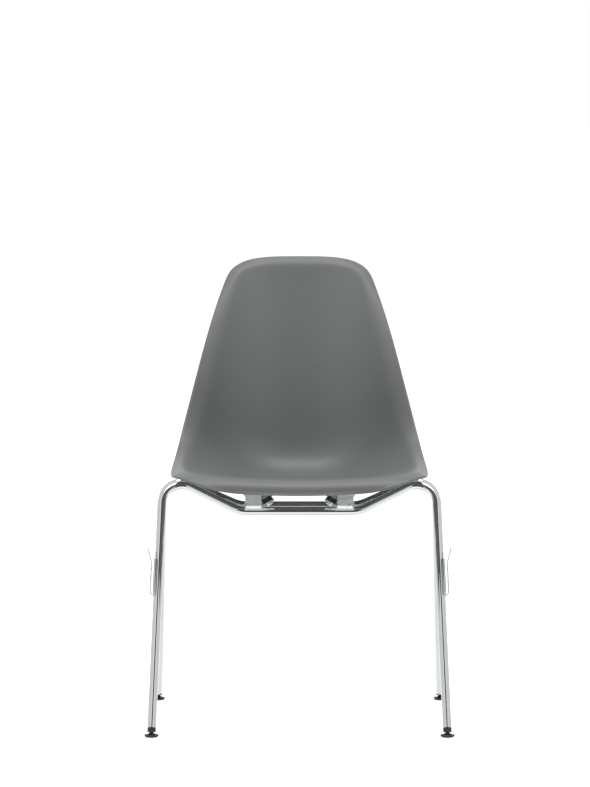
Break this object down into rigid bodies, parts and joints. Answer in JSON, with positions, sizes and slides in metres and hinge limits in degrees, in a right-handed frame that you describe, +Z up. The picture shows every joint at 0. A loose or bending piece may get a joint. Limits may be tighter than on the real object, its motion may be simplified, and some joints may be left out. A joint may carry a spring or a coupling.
{
  "type": "stacking side chair",
  "caption": "Moulded plastic shell side chair on a bent and plated steel tube base, with rubber shock mounts, tilting foot pads and side linking catches.",
  "frame": {"origin": "on the floor, below the middle of the chair's box", "axes": "+Z up, the chair faces -Y, +X to the right of someone looking at its front"},
  "size_m": [0.557, 0.5505, 0.8338],
  "materials": {
    "shell_plastic": "fine satin grain",
    "plated_tube": "polished plating",
    "plated_sheet": "polished plating over pressed sheet",
    "mount_rubber": "matt moulded",
    "zinc_steel": "zinc plated",
    "insert_brass": "machined",
    "pad_plastic": "matt moulded"
  },
  "bodies": {
    "chair": {"seat_shell": "shell_plastic", "front_leg_tube": "plated_tube", "rear_leg_tube": "plated_tube", "left_saddle_bracket": "plated_sheet", "right_saddle_bracket": "plated_sheet", "mount_nut_plates": "zinc_steel", "mount_stud_plates": "zinc_steel", "threaded_inserts": "insert_brass", "mount_screws": "zinc_steel", "shock_mount_front_left": "mount_rubber", "shock_mount_front_right": "mount_rubber", "shock_mount_rear_left": "mount_rubber", "shock_mount_rear_right": "mount_rubber", "leg_plug_front_left": "pad_plastic", "leg_plug_front_right": "pad_plastic", "leg_plug_rear_left": "pad_plastic", "leg_plug_rear_right": "pad_plastic", "link_catch_left": "plated_sheet", "link_peg_left": "plated_tube", "link_catch_right": "plated_sheet", "link_peg_right": "plated_tube"},
    "pad_front_left": {"foot_pad_front_left": "pad_plastic"},
    "pad_front_right": {"foot_pad_front_right": "pad_plastic"},
    "pad_rear_left": {"foot_pad_rear_left": "pad_plastic"},
    "pad_rear_right": {"foot_pad_rear_right": "pad_plastic"}
  },
  "joints": [
    {"name": "pad_tilt_front_left", "type": "hinge", "parent": "chair", "child": "pad_front_left", "pos_m": [-0.2655, -0.245, 0.0059], "axis": [1, 0, 0], "range_deg": [-10, 10]},
    {"name": "pad_tilt_front_right", "type": "hinge", "parent": "chair", "child": "pad_front_right", "pos_m": [0.2655, -0.245, 0.0059], "axis": [1, 0, 0], "range_deg": [-10, 10]},
    {"name": "pad_tilt_rear_left", "type": "hinge", "parent": "chair", "child": "pad_rear_left", "pos_m": [-0.2655, 0.245, 0.0059], "axis": [1, 0, 0], "range_deg": [-10, 10]},
    {"name": "pad_tilt_rear_right", "type": "hinge", "parent": "chair", "child": "pad_rear_right", "pos_m": [0.2655, 0.245, 0.0059], "axis": [1, 0, 0], "range_deg": [-10, 10]}
  ]
}
